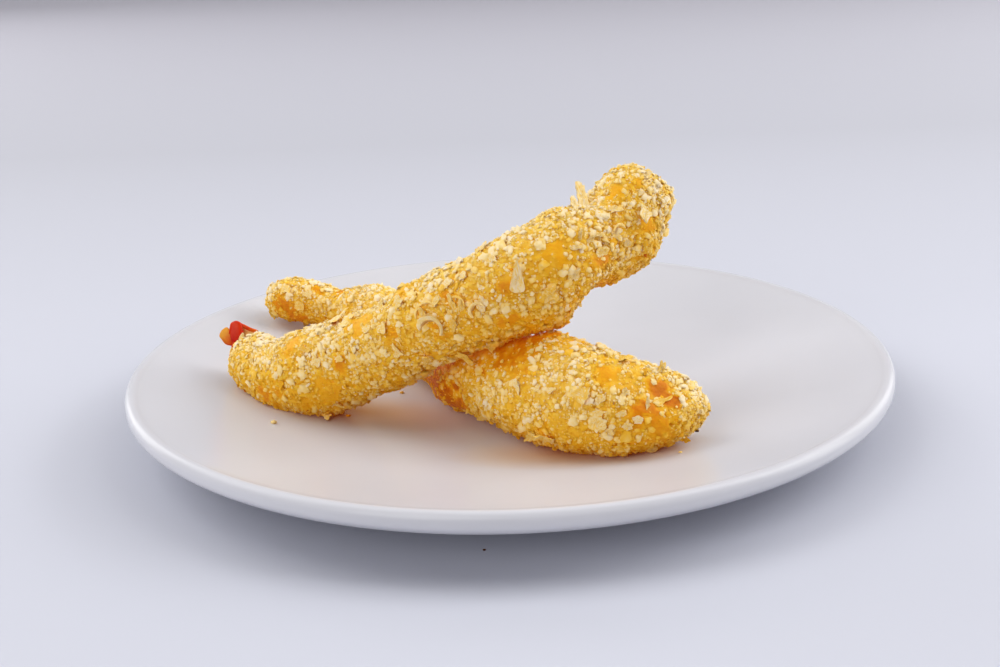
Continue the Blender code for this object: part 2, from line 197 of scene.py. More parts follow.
def plate_profile():
    """The plate's section: out over the well and the lip, then back along its underside."""
    radii = np.concatenate([np.linspace(1, WELL_FLAT_RADIUS, 10), np.linspace(32, LIP_INNER_RADIUS, 34)])
    well = np.stack([radii, well_height(radii)], -1)
    rim, top, inner, ring = PLATE_RADIUS, PLATE_HEIGHT, LIP_INNER_RADIUS, FOOT_RADIUS
    lip = [
        (inner, top - LIP_INNER_DROP), (inner + 1.3, top - 0.04), (inner + 2.5, top - 0.04),
        (rim - 0.35, top - 0.75), (rim, top - 1.9), (rim - 0.45, top - 3.9), (rim - 3.7, top - 6.2),
        (rim - 9, well_height(91) - 5.5), (80, well_height(80) - WALL_THICKNESS),
    ]
    foot = [
        (70, well_height(70) - WALL_THICKNESS), (ring + 2.2, well_height(ring) - WALL_THICKNESS),
        (ring + 0.4, 2.2), (ring, 0.7), (ring - 0.9, 0), (ring - FOOT_WIDTH + 0.9, 0),
        (ring - FOOT_WIDTH, 0.8), (ring - FOOT_WIDTH - 1, FOOT_HEIGHT),
    ]
    lip, foot = rounded(lip, 0.45), rounded(foot, 0.5)
    foot[:, 1] = np.clip(foot[:, 1], 0, None)
    lip[:, 0] = np.minimum(lip[:, 0], PLATE_RADIUS)
    under = np.stack([np.linspace(48.0, 1.0, 14), np.full(14, FOOT_HEIGHT)], -1)
    return np.vstack([well, lip[1:], foot, under])


def plate_points(profile, sides):
    """The section turned about +Z, ring by ring, then a point in the middle of each face."""
    turn = turns(sides)
    radius, height = profile[:, :1], profile[:, 1:]
    rings = np.stack([radius * np.cos(turn), radius * np.sin(turn), height + 0 * turn], -1)
    return np.vstack([rings.reshape(-1, 3), [(0, 0, profile[0, 1]), (0, 0, profile[-1, 1])]])


def glazed_porcelain():
    """Porcelain under a clear glaze: faintly uneven where the glaze pooled, bare at the foot, and tinted
    golden beside the shrimp as a painted warm shadow, standing for light bounced off their coats."""
    material, tree, place = new_material("glazed_porcelain")
    pooling = add_node(tree, "TexNoise", Vector=place, Scale=1 / (45 * MM), Detail=2)
    stops = ((0.35, GLAZE_SHADE), (0.65, GLAZE_WHITE))
    glaze = add_node(tree, "ValToRGB", stops=stops, Fac=pooling).outputs["Color"]
    # Painted warm shadow: the glaze is tinted golden in ovals beside the shrimp.
    for middle, reach, turn in PAINTED_WARM_SHADOWS:
        spot = add_node(
            tree, "Mapping", {"vector_type": "TEXTURE"}, Vector=place,
            Location=tuple(v * MM for v in middle), Rotation=(0, 0, math.radians(turn)),
            Scale=tuple(v * MM for v in reach),
        )
        near = add_node(tree, "TexGradient", {"gradient_type": "SPHERICAL"}, Vector=spot).outputs["Fac"]
        shadow_share = add_node(tree, "Math", {"operation": "MULTIPLY"}, n0=near, n1=PAINTED_SHADOW_STRENGTH)
        tinted = add_node(tree, "Mix", {"data_type": "RGBA"}, n0=shadow_share, n6=glaze, n7=linear(PAINTED_SHADOW_TINT))
        glaze = tinted.outputs[2]
    height = add_node(tree, "SeparateXYZ", Vector=place).outputs["Z"]
    bare = add_node(tree, "Math", {"operation": "LESS_THAN"}, n0=height, n1=UNGLAZED_HEIGHT * MM)
    colour = add_node(tree, "Mix", {"data_type": "RGBA"}, n0=bare, n6=glaze, n7=linear(FOOT_WHITE))
    ripple = add_node(tree, "TexNoise", Vector=place, Scale=1 / (12 * MM), Detail=3)
    shine = add_node(tree, "MapRange", Value=ripple, To_Min=0.2, To_Max=0.27)
    shader = add_node(
        tree, "BsdfPrincipled", Base_Color=colour.outputs[2], Roughness=shine,
        Normal=add_node(tree, "Bump", Strength=0.05, Distance=0.2 * MM, Height=ripple), IOR=1.5,
        Specular_IOR_Level=0.3,
    )
    return finish_material(material, shader)


profile = plate_profile()
rings = len(profile)
plate = make_object(
    "plate_glazed", plate_points(profile, PLATE_SIDES), glazed_porcelain(),
    tube_faces(rings, PLATE_SIDES)[:, ::-1], end_faces(rings, PLATE_SIDES)[:, ::-1],
)
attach(plate, "root")
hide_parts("plate")


# The lower shrimp. A peeled, stretched shrimp in batter and crumbs, fried: its tail end is a
# coated knob at the back left, its thick head end lies at the front right. 165 mm along, 28 mm thick.

LOWER_RINGS = 456
LOWER_SIDES = 212
# Stations of the middle line: x, y and z, half width and half height in mm
LOWER_STATIONS = (
    (-71.6, 47.8, 20.6, 7.7, 7.2), (-60.2, 46.4, 19.5, 7.8, 7.3), (-50.9, 42.4, 18.5, 7.3, 7.3),
    (-39.3, 34.3, 17.5, 8.8, 8.6), (-30.3, 21.6, 17.3, 9.8, 9.4), (-21.3, 7.3, 17.3, 9.8, 9.4),
    (-12.2, -7, 17.6, 11.2, 10), (-2.3, -25, 19, 13.6, 11.6), (8.5, -38.1, 20, 14.4, 12.6),
    (18.9, -46, 20.3, 14, 12.9), (29.2, -49, 19.8, 13, 12.2), (38.7, -47.8, 18.5, 12.6, 11.8),
    (46.9, -47, 17.8, 12, 11.2),
)
# How far the tail end and the head end are rounded off, in mm
LOWER_ROUNDING = (6, 20)
# Swellings and dents of the coat: place along in mm, turn in degrees, reach and height in mm
LOWER_SWELLS = (
    (12, 60, 5, 0.8), (24, 80, 4, -0.6), (37, 95, 6, 2.8), (90, -62, 6, 1.6), (94, -40, 7, 1.4),
    (104, -10, 2.6, -1.8), (112, 70, 8, 1.2), (124, 98, 4.5, 2.6), (128, -60, 7, 1.3), (135, 92, 6, 0.9),
    (142, -35, 8, 1.2), (150, 36, 4.2, -2.8), (151, 80, 6, -1.4), (162, 62, 5, -1.8),
)
# Bare spots, where batter shows between the crumbs: place along in mm, turn in degrees, reach in mm, and how
# dark it fried. The darkest, 86 to 100 mm along, lie under the upper shrimp, and their darkness is partly
# painted shadow of it
LOWER_BARE = (
    (6, -10, 3.1, 0.64), (11, -40, 3.9, 0.81), (17, 60, 2.3, 0.51), (25, 100, 2.8, 0.68),
    (86, -28, 7, 0.95), (94, -14, 7, 1), (99, -24, 5, 1), (100, 0, 5, 1), (105, 10, 1.9, 0.85),
    (112.5, 34, 1.9, 0.85), (120, 66, 4.7, 0.72), (122, 96, 4.7, 0.68), (151.5, 48, 2.8, 0.85),
    (148.5, 14, 2.4, 0.75), (153, 34, 2.6, 0.85), (151, -10, 3.6, 0.42), (143, 62, 2.8, 0.38),
)
# A shrimp's line is cut into this many samples, and every so many of them are searched for the nearest
LINE_SAMPLES = 6000
LINE_STEP = 40
# The crumb bed, in mm: how far it lies inside the outline, its gaps to the plate and to the other coat,
# how far it is pushed for that at most, and its grain
CORE_INSET = 1.35
PLATE_GAP = 0.35
COAT_GAP = 0.5
MOST_PUSHED = 6.0
CHIP_SIZE = 2.4
GRAIN_SIZE = 1.25
CLUSTER_SIZE = 3.0
RELIEF_BLUR = 14
# Tones run from 0, dark batter, to 1, the palest crumb: of batter, more under thick crumb, and more on top
# as painted light from above
BATTER_TONE = 0.38
CRUMB_TONE = 0.08
# How much paler the tone is where the surface faces up: painted light from above
PAINTED_TOP_LIGHT = 0.16
# Painted glow: colour of an orange emission that stands in for light coming through the thin crumb, so that
# its shaded sides stay warm
PAINTED_GLOW = "#FF6A10"
# Colours of the tones, from dark batter to pale crumb
CRUMB_COLOURS = (
    (0.00, "#A84C04"), (0.14, "#D28006"), (0.30, "#E6A914"), (0.48, "#ECBC32"),
    (0.66, "#EFCC62"), (0.84, "#F0DC9A"), (1.00, "#F0E4BE"),
)


def draws(cells, seed):
    """Four even draws from 0 to 1 for each cell of whole numbers."""
    x, y, z = (cells[..., k].astype(np.int64) for k in range(3))
    state = (x * 73856093) ^ (y * 19349663) ^ (z * 83492791) ^ (seed * 2654435761)
    found = []
    for _ in range(4):
        state = state * 6364136223846793005 + 1442695040888963407
        found.append(((state >> 33) & 0x3FFFFFFF) / 0x3FFFFFFF)
    return found


def soft_noise(points, size, seed):
    """Noise from -1 to 1: draws at the corners of cubes of a size in mm, blended between."""
    scaled = points / size
    base = np.floor(scaled).astype(np.int64)
    part = scaled - base
    part = part * part * (3 - 2 * part)
    total = np.zeros(points.shape[:-1])
    for corner in np.ndindex(2, 2, 2):
        weight = np.prod(np.where(np.array(corner) == 1, part, 1 - part), axis=-1)
        total += weight * draws(base + np.array(corner), seed)[0]
    return 2 * total - 1


def crumb_cells(points, size, seed):
    """Cells round a centre drawn in each cube of a size in mm: each point's distance to the nearest and the
    next, its way to the nearest, and that one's own draw."""
    scaled = points / size
    base = np.floor(scaled).astype(np.int64)
    nearest = np.full(points.shape[:-1], 9.0)
    second = nearest.copy()
    way = np.zeros(points.shape)
    own = np.zeros(points.shape[:-1])
    for shift in np.ndindex(3, 3, 3):
        cell = base + np.array(shift) - 1
        x, y, z, lot = draws(cell, seed)
        gap = cell + np.stack([x, y, z], -1) - scaled
        distance = np.linalg.norm(gap, axis=-1)
        nearer = distance < nearest
        second = np.where(nearer, nearest, np.minimum(second, distance))
        nearest = np.where(nearer, distance, nearest)
        way = np.where(nearer[..., None], gap, way)
        own = np.where(nearer, lot, own)
    return nearest, second, way, own


def unit(vectors):
    """Vectors brought to length 1."""
    return vectors / np.maximum(np.linalg.norm(vectors, axis=-1), 1e-9)[..., None]


def soften(made, normals):
    """Sets an object's shading normals, as light that scatters in crumb softens its form."""
    made.data.normals_split_custom_set_from_vertices(unit(normals).reshape(-1, 3).tolist())


def set_values(made, name, values):
    """Gives each point of an object its value, which the material reads by name."""
    made.data.attributes.new(name, "FLOAT", "POINT").data.foreach_set("value", values.astype(np.float32))


def shrimp_line(stations, samples):
    """A smooth curve through a shrimp's stations: places along it in mm, and its rows there."""
    fine = smooth_curve(stations, 60)
    along = lengths_along(fine[:, :3])
    places = np.linspace(0, along[-1], samples)
    return places, np.stack([np.interp(places, along, column) for column in fine.T], -1)


def end_shares(places, length, rounding):
    """Share of the full section at each place: a quarter ellipse at the tail and at the head."""
    tail = np.clip(places / rounding[0], 0, 1)
    head = np.clip((length - places) / rounding[1], 0, 1)
    return np.sqrt(1 - (1 - tail) ** 2) * np.sqrt(1 - (1 - head) ** 2)


def near_spots(spots, places, turns, radius):
    """How near each point of the coat is to each spot: a bell over the way along and around in mm."""
    spots = np.array(spots, float)
    around = (np.degrees(turns)[..., None] - spots[:, 1] + 180) % 360 - 180
    around = np.radians(around) * radius[..., None]
    reach = spots[:, 2]
    return np.exp(-0.5 * ((places[..., None] - spots[:, 0]) ** 2 + around**2) / reach**2)


def shrimp_body(stations, rounding, swells, rings, sides):
    """The coat without its crumbs: an ellipse carried along the shrimp's line, drawn in at either end, and
    swollen or dented in places, its rings evenly spaced over the surface."""
    places, rows = shrimp_line(stations, LINE_SAMPLES)
    length = places[-1]
    radii = end_shares(places, length, rounding) * rows[:, 3:].mean(1)
    over = np.r_[0, np.cumsum(np.hypot(np.diff(places), np.diff(radii)))]
    place = np.interp(np.linspace(0, over[-1], rings + 2)[1:-1], over, places)
    ahead = np.gradient(rows[:, :3], axis=0)
    side = np.cross(ahead, (0, 0, 1))
    side, up = unit(side), unit(np.cross(side, ahead))
    at = np.clip(np.searchsorted(places, place), 0, len(places) - 1)
    turn = turns(sides)
    wide, high = rows[at, 3:4] - CORE_INSET, rows[at, 4:5] - CORE_INSET
    across, upward = wide * np.cos(turn), high * np.sin(turn)
    out = side[at][:, None] * across[..., None] + up[at][:, None] * upward[..., None]
    radius = np.linalg.norm(out, axis=-1)
    around, along = np.broadcast_to(turn, radius.shape), np.broadcast_to(place[:, None], radius.shape)
    swell = near_spots(swells, along, around, radius) @ np.array(swells)[:, 3]
    share = end_shares(place, length, rounding)[:, None]
    points = rows[at, None, :3] + out * (share * (1 + swell / radius))[..., None]
    grid = {"points": points, "along": along, "turn": around, "radius": radius}
    return grid | {"line": rows, "places": places, "side": side, "up": up}


def outward(points, middle):
    """Unit normals of a closed tube of rings."""
    along = np.gradient(points, axis=0)
    around = np.roll(points, -1, axis=1) - np.roll(points, 1, axis=1)
    normal = unit(np.cross(around, along))
    sign = np.sign(np.sum(normal * (points - middle[:, None]), axis=(1, 2)))
    return normal * sign[:, None, None]


def blurred(grid, passes):
    """A grid of rings, each value averaged with its neighbours a number of times."""
    for _ in range(passes):
        padded = np.vstack([grid[:1], grid, grid[-1:]])
        grid = (padded[:-2] + grid + padded[2:]) / 3
        grid = (np.roll(grid, 1, axis=1) + grid + np.roll(grid, -1, axis=1)) / 3
    return grid


def crumb_relief(points, seed):
    """How far the crumb bed stands out in mm: soft lumps, and over them chips, each a tilted cell at its
    own height, with grains on and between them."""
    lumps = 0.55 * soft_noise(points, 8, seed) + 0.25 * soft_noise(points, 3.6, seed + 1)
    shaken = points + 0.5 * soft_noise(points, 1.6, seed + 3)[..., None]
    near, second, way, own = crumb_cells(shaken, CHIP_SIZE, seed)
    tilt = np.sum(way * (np.stack([own, (7 * own) % 1, (13 * own) % 1], -1) - 0.5), axis=-1)
    edge = np.exp(-(second - near) / 0.11)
    chips = 0.7 * (own - 0.5) + tilt - 0.3 * near - 0.3 * edge
    near, second, way, own = crumb_cells(points, GRAIN_SIZE, seed + 11)
    edge = np.exp(-(second - near) / 0.13)
    grains = 0.4 * (own - 0.5) - 0.35 * near - 0.15 * edge
    return lumps, chips + grains


def plate_under(points):
    """Height of the plate's upper face under each point."""
    return well_height(np.hypot(points[..., 0], points[..., 1]))


def depth_in(points, body):
    """How deep points lie inside a shrimp's full section, in mm, and the way out of it, from the nearest
    place on its line."""
    flat = points.reshape(-1, 3)
    step = slice(None, None, LINE_STEP)
    line, side, up = body["line"][step], body["side"][step], body["up"][step]
    nearest = np.argmin(
        np.sum(flat**2, 1)[:, None] - 2 * flat @ line[:, :3].T + np.sum(line[:, :3] ** 2, 1), axis=1
    )
    gap = flat - line[nearest, :3]
    far = np.linalg.norm(gap, axis=1)
    way = gap / np.maximum(far, 1e-9)[:, None]
    across, upward = np.sum(way * side[nearest], 1), np.sum(way * up[nearest], 1)
    reach = 1 / np.sqrt((across / line[nearest, 3]) ** 2 + (upward / line[nearest, 4]) ** 2 + 1e-9)
    return (reach - far).reshape(points.shape[:-1]), way.reshape(points.shape)


def coat_body(body, bare_spots, seed, below=None):
    """Puts the crumb relief on a body, in clusters with smooth batter between them and over its bare
    spots, clear of the plate and of the shrimp below. Adds its outer points, normals without and with the
    relief, tones, and how thickly crumbs lie."""
    points = body["points"]
    middle = points.mean(axis=1)
    normal = outward(points, middle)
    spots = near_spots(bare_spots, body["along"], body["turn"], body["radius"])
    # How bare each point is, with a ragged edge, and how dark its batter fried, which under the upper shrimp
    # is partly painted shadow
    wobble = 0.8 + 0.9 * soft_noise(points, 1.6, seed + 20)
    bare = np.clip(1.2 * spots.max(axis=-1) * wobble, 0, 0.9)
    dark = (spots**2 @ np.array(bare_spots)[:, 3]) / np.maximum((spots**2).sum(-1), 1e-6)
    # Clusters, large and small; crumbs lie on less than half as thickly between them
    cluster = 0.8 * soft_noise(points, CLUSTER_SIZE, seed + 21)
    cluster += 0.5 * soft_noise(points, 2.4 * CLUSTER_SIZE, seed + 22)
    thick = np.clip(0.76 + 0.5 * cluster, 0.45, 1) * (1 - bare)
    lumps, relief = crumb_relief(points, seed)
    shallow = relief - blurred(relief, RELIEF_BLUR)
    outer = points + normal * (lumps + relief * (0.15 + 0.85 * thick))[..., None]
    if below is not None:
        deep, way = depth_in(outer, below)
        outer = outer + way * np.clip(deep + COAT_GAP, 0, MOST_PUSHED)[..., None]
    outer[..., 2] = np.maximum(outer[..., 2], plate_under(outer) + PLATE_GAP)
    # Paler where it stands out and on top, darker in hollows and where it is bare: paler on top is painted
    # light from above, and darker in the hollows is batter between the crumbs and partly painted shade
    tone = BATTER_TONE + CRUMB_TONE * thick + 0.28 * shallow * thick + PAINTED_TOP_LIGHT * normal[..., 2]
    tone += 0.06 * soft_noise(points, 1, seed + 7)
    tone += bare * (0.38 - 0.36 * dark - tone)
    body.update(outer=outer, normal=normal, rough_normal=outward(outer, middle), tone=tone, thick=thick)
    return body


def fried_crumb(name, roughness, glow, scattering):
    """Fried breadcrumb: pale at its edges and on top, golden where it took the oil, and orange-brown batter
    in the hollows; the pale tops are painted light, and the hollows partly painted shade. An orange emission
    is a painted glow that keeps its shaded sides warm. The tone of each point runs from batter to pale
    crumb."""
    material, tree, place = new_material(name)
    tone = add_node(tree, "Attribute", {"attribute_name": "tone"}).outputs["Fac"]
    mottle = add_node(tree, "TexNoise", Vector=place, Scale=1 / (1.1 * MM), Detail=3)
    moved = add_node(tree, "Math", {"operation": "MULTIPLY_ADD"}, n0=mottle, n1=0.2, n2=tone)
    shifted = add_node(tree, "Math", {"operation": "SUBTRACT"}, n0=moved, n1=0.1)
    grit = add_node(tree, "TexNoise", Vector=place, Scale=1 / (0.45 * MM), Detail=4, Roughness=0.6)
    # The emission is a painted glow that keeps the shaded sides warm.
    shader = add_node(
        tree, "BsdfPrincipled", Base_Color=add_node(tree, "ValToRGB", stops=CRUMB_COLOURS, Fac=shifted),
        Roughness=roughness, Normal=add_node(tree, "Bump", Strength=0.4, Distance=0.12 * MM, Height=grit),
        IOR=1.45, Specular_IOR_Level=0.16, Subsurface_Weight=scattering, Subsurface_Radius=(1, 0.75, 0.5),
        Subsurface_Scale=1.6 * MM, Emission_Color=linear(PAINTED_GLOW), Emission_Strength=glow,
    )
    return finish_material(material, shader)


def coat_object(name, body, material):
    """The coat's core as one closed mesh, its ends drawn to a point, with its tone at each point."""
    outer, tone = body["outer"], body["tone"]
    points = np.vstack([outer.reshape(-1, 3), outer[0].mean(axis=0), outer[-1].mean(axis=0)])
    quads, triangles = tube_faces(*tone.shape), end_faces(*tone.shape)
    made = make_object(name, points, material, quads[:, ::-1], triangles[:, ::-1])
    set_values(made, "tone", np.concatenate([tone.ravel(), tone[0, :1], tone[-1, :1]]))
    normals = (0.5 * body["rough_normal"] + 0.5 * body["normal"]).reshape(-1, 3)
    soften(made, np.vstack([normals, normals[:1], normals[-1:]]))
    return made


bed_finish = fried_crumb("fried_crumb_bed", 0.5, 0.07, 0.6)
lower = coat_body(
    shrimp_body(LOWER_STATIONS, LOWER_ROUNDING, LOWER_SWELLS, LOWER_RINGS, LOWER_SIDES), LOWER_BARE, 2
)
lower_coat = coat_object("lower_shrimp_coat", lower, bed_finish)
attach(lower_coat, "root")
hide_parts("lower_shrimp")


# The upper shrimp. The same food, 141 mm along: it starts with its tail at the left of the plate,
# lies over the lower one, and holds its head 60 mm in the air, with a soft bend in the middle.

UPPER_RINGS = 424
UPPER_SIDES = 208
UPPER_STATIONS = (
    (-72.2, 4.6, 18.9, 8.9, 8.9), (-62.5, -6, 16.9, 9.3, 9.2), (-52.4, -13.5, 18.9, 11, 11.1),
    (-39.9, -20, 25.1, 11.3, 11.5), (-26.5, -26, 31.3, 11, 11), (-16.3, -30, 36.6, 11.6, 11.8),
    (-3.9, -33, 42.1, 12.2, 12.2), (5.9, -32.5, 47.1, 12.3, 12.6), (13.7, -30, 50.1, 12.3, 12.5),
    (21.4, -24, 54, 10.6, 10.8), (29.2, -18, 56.2, 11.3, 11.3), (36.2, -13, 57.6, 10.8, 10.9),
    (42, -9.4, 58.6, 10.2, 10.4),
)
UPPER_ROUNDING = (10, 10)
UPPER_SWELLS = (
    (14, -80, 8, 1.1), (26, -82, 9, 1.5), (37, -78, 7, 2.2), (54, -76, 8, 2.6), (50, 95, 9, -1.2),
    (64, 90, 6, 0.9), (80, 88, 7, 0.6), (91, 90, 5, 0.3), (99, -68, 6, 3.4), (105.5, -62, 3.4, -4.6),
    (109, 88, 4, 1.7), (111.5, -70, 4, 1.8), (118, 95, 3.2, -2.4), (120, -72, 6, 3), (128, 88, 5.5, 3.2),
    (130.5, -70, 5, 1.8), (138.5, -20, 5, -2.6), (139.5, -45, 5, -3),
)
UPPER_BARE = (
    (20, -22, 1.7, 0.59), (25.5, -10, 1.6, 0.51), (31, 55, 2.7, 0.26), (39.6, -25, 2.6, 0.25),
    (46, -5, 1.6, 0.59), (52.6, 50, 2.7, 0.3), (63, 10, 1.7, 0.51), (66.6, 73, 2.3, 0.21),
    (74.3, -4, 1.6, 0.55), (78.6, 34, 1.4, 0.51), (88, -24, 1.7, 0.47), (90.3, 18, 1.7, 0.51),
    (101.2, 33, 2.7, 0.2), (108.7, 0, 1.7, 0.59), (121.2, 66, 1.6, 0.25), (126.7, 60, 1.6, 0.2),
    (125.7, 4, 1.4, 0.42),
)

upper = coat_body(
    shrimp_body(UPPER_STATIONS, UPPER_ROUNDING, UPPER_SWELLS, UPPER_RINGS, UPPER_SIDES), UPPER_BARE, 1, lower
)
upper_coat = coat_object("upper_shrimp_coat", upper, bed_finish)
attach(upper_coat, "root")
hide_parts("upper_shrimp")


# The crumbs. Dried white bread, torn into slivers and chips of 1 to 3 mm with grains between
# them, pressed on the wet batter and fried: each stands off the coat at its own angle.

TOP_OF_OBJECT = 70.6
# Least height of a crumb or flake above the plate, in mm
CRUMB_GAP = 0.1


def knot(detail):
    """Points and triangles of the ball of 8, 20 or 80 faces that every crumb is broken out of."""
    bm = bmesh.new()
    bmesh.ops.create_icosphere(bm, subdivisions=max(detail, 1), radius=1.0)
    points = np.array([vert.co for vert in bm.verts])
    triangles = np.array([[vert.index for vert in face.verts] for face in bm.faces])
    bm.free()
    if detail == 0:
        points = np.array([(1, 0, 0), (0, 1, 0), (-1, 0, 0), (0, -1, 0), (0, 0, 1), (0, 0, -1)], float)
        triangles = np.vstack([pole_faces(0, 4, 4, False), pole_faces(0, 4, 5, True)])
    return points, triangles


def crumb_shapes(detail, lengths, draw):
    """Broken crumbs, one for each length in mm: a ball made long, flat, boxy, bent and uneven."""
    ball, triangles = knot(detail)
    count = len(lengths)
    power = draw.uniform(0.55, 1.1, (count, 1, 3))
    shape = np.sign(ball) * np.abs(ball) ** power
    shape *= 1 + draw.uniform(-0.34, 0.30, (count, len(ball), 1))
    size = np.stack([np.ones(count), draw.uniform(0.45, 0.95, count), draw.uniform(0.32, 0.68, count)], -1)
    shape *= 0.5 * (lengths[:, None] * size)[:, None]
    bend = draw.uniform(-0.25, 0.25, (count, 1))
    shape[..., 2] += bend * shape[..., 0] ** 2
    return shape, triangles


def on_coat(body, at, tilt, heading):
    """Axes of length, width and thickness at grid places: along the shrimp, turned on the coat by a
    heading, then leaned off it by a tilt, both in degrees."""
    ring, side = at
    normal, outer = body["normal"][at], body["outer"]
    ahead = outer[np.minimum(ring + 3, len(outer) - 1), side] - outer[ring - 3, side]
    ahead = unit(ahead - normal * np.sum(normal * ahead, 1)[:, None])
    across = np.cross(normal, ahead)
    turn, lean = np.radians(heading)[:, None], np.radians(tilt)[:, None]
    flat = ahead * np.cos(turn) + across * np.sin(turn)
    lie = flat * np.cos(lean) + normal * np.sin(lean)
    wide = np.cross(normal, flat)
    return np.stack([lie, wide, np.cross(lie, wide)], axis=1)


def grid_place(body, place, turn):
    """Ring and side of a coat's grid at places along it in mm and turns round it in degrees."""
    rings, sides = body["turn"].shape
    ring = np.clip(np.searchsorted(body["along"][:, 0], place), 3, rings - 4)
    return ring, np.round(turn / 360 * sides).astype(int) % sides


def settled(shapes, other):
    """Crumbs lifted off the plate; those inside the other shrimp or above the object's top go."""
    lift = plate_under(shapes) + CRUMB_GAP - shapes[..., 2]
    shapes[..., 2] += np.clip(lift.max(axis=1), 0, None)[:, None]
    deep, _ = depth_in(shapes.mean(axis=1), other)
    return (deep < -0.2) & (shapes[..., 2].max(axis=1) < TOP_OF_OBJECT)


def joined(shapes, triangles):
    """Shapes with the same triangles as one mesh: all their points, and all their triangles."""
    faces = triangles[None] + (np.arange(len(shapes)) * shapes.shape[1])[:, None, None]
    return shapes.reshape(-1, 3), faces.reshape(-1, 3)


def scatter(body, other, count, detail, lengths, lean, sink, tones, seed):
    """Crumbs strewn over a coat, few on its batter: points, triangles, tones, and normals, more the coat's
    than their own."""
    draw = np.random.default_rng(seed)
    rings, sides = body["tone"].shape
    area = np.linalg.norm(np.roll(body["points"], -1, 1) - body["points"], axis=-1)
    weight = area * body["thick"] ** 1.4
    picks = draw.choice(rings * sides, count, p=(weight / weight.sum()).ravel())
    at = np.clip(picks // sides, 3, rings - 4), picks % sides
    length = np.exp(draw.normal(np.log(lengths[0]), lengths[1], count)).clip(lengths[2], lengths[3])
    shapes, triangles = crumb_shapes(detail, length, draw)
    axes = on_coat(body, at, draw.normal(0, lean, count), draw.uniform(0, 360, count))
    out = body["normal"][at]
    shapes = np.einsum("kvi,kij->kvj", shapes, axes)
    own_normals = unit(shapes)
    shapes = shapes + (body["outer"][at] + out * (sink * length)[:, None])[:, None]
    kept = settled(shapes, other)
    # Paler on top: painted light from above.
    own = draw.normal(tones[0], tones[1], count).clip(0.1, 1) + PAINTED_TOP_LIGHT * out[:, 2]
    own += 0.3 * (body["thick"][at] - 0.7)
    own = np.where(draw.random(count) < 0.1, own - 0.25, own)
    # Painted light and shade: each crumb's tone is raised on the sides that face out and lowered on those
    # that face the coat.
    raised = np.sum(own_normals * out[:, None], axis=-1)
    tone = own[:, None] + 0.14 * raised - 0.05 + 0.05 * draw.standard_normal(shapes.shape[:2])
    normals = 0.3 * own_normals + 0.8 * out[:, None]
    return *joined(shapes[kept], triangles), tone[kept].ravel(), normals[kept]


def crumb_object(name, points, triangles, tone, normals, material):
    """Crumbs as one joined mesh, with their tones and softened normals."""
    made = make_object(name, points, material, triangles=triangles)
    set_values(made, "tone", tone)
    soften(made, normals)
    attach(made, "root")


crumb_finish = fried_crumb("fried_breadcrumb", 0.6, 0.08, 0)
# Kind, count, detail of the ball, lengths (middle, spread, least, most) in mm, lean in degrees, how far
# it stands out as a share of its length, and tones (middle, spread)
CRUMB_KINDS = (
    ("chips", 1300, 2, (1.7, 0.28, 1, 2.9), 20, 0, (0.73, 0.09)),
    ("grains", 8200, 1, (0.95, 0.26, 0.5, 1.6), 30, 0.08, (0.67, 0.10)),
    ("fine_crumbs", 22500, 0, (0.64, 0.25, 0.35, 1.1), 30, 0.12, (0.60, 0.09)),
)
for label, body, other, seed in (("lower", lower, upper, 31), ("upper", upper, lower, 47)):
    for number, (kind, *form) in enumerate(CRUMB_KINDS):
        crumbs = scatter(body, other, *form, seed + number)
        crumb_object(f"{label}_crumb_{kind}", *crumbs, crumb_finish)


# The flakes. Larger thin pieces of crumb and batter, curled by the hot oil, that catch the light.
# Those that stand out are placed one by one; the others are strewn.

FLAKE_RINGS = 7
FLAKE_SIDES = 28
STREWN_FLAKES = 34
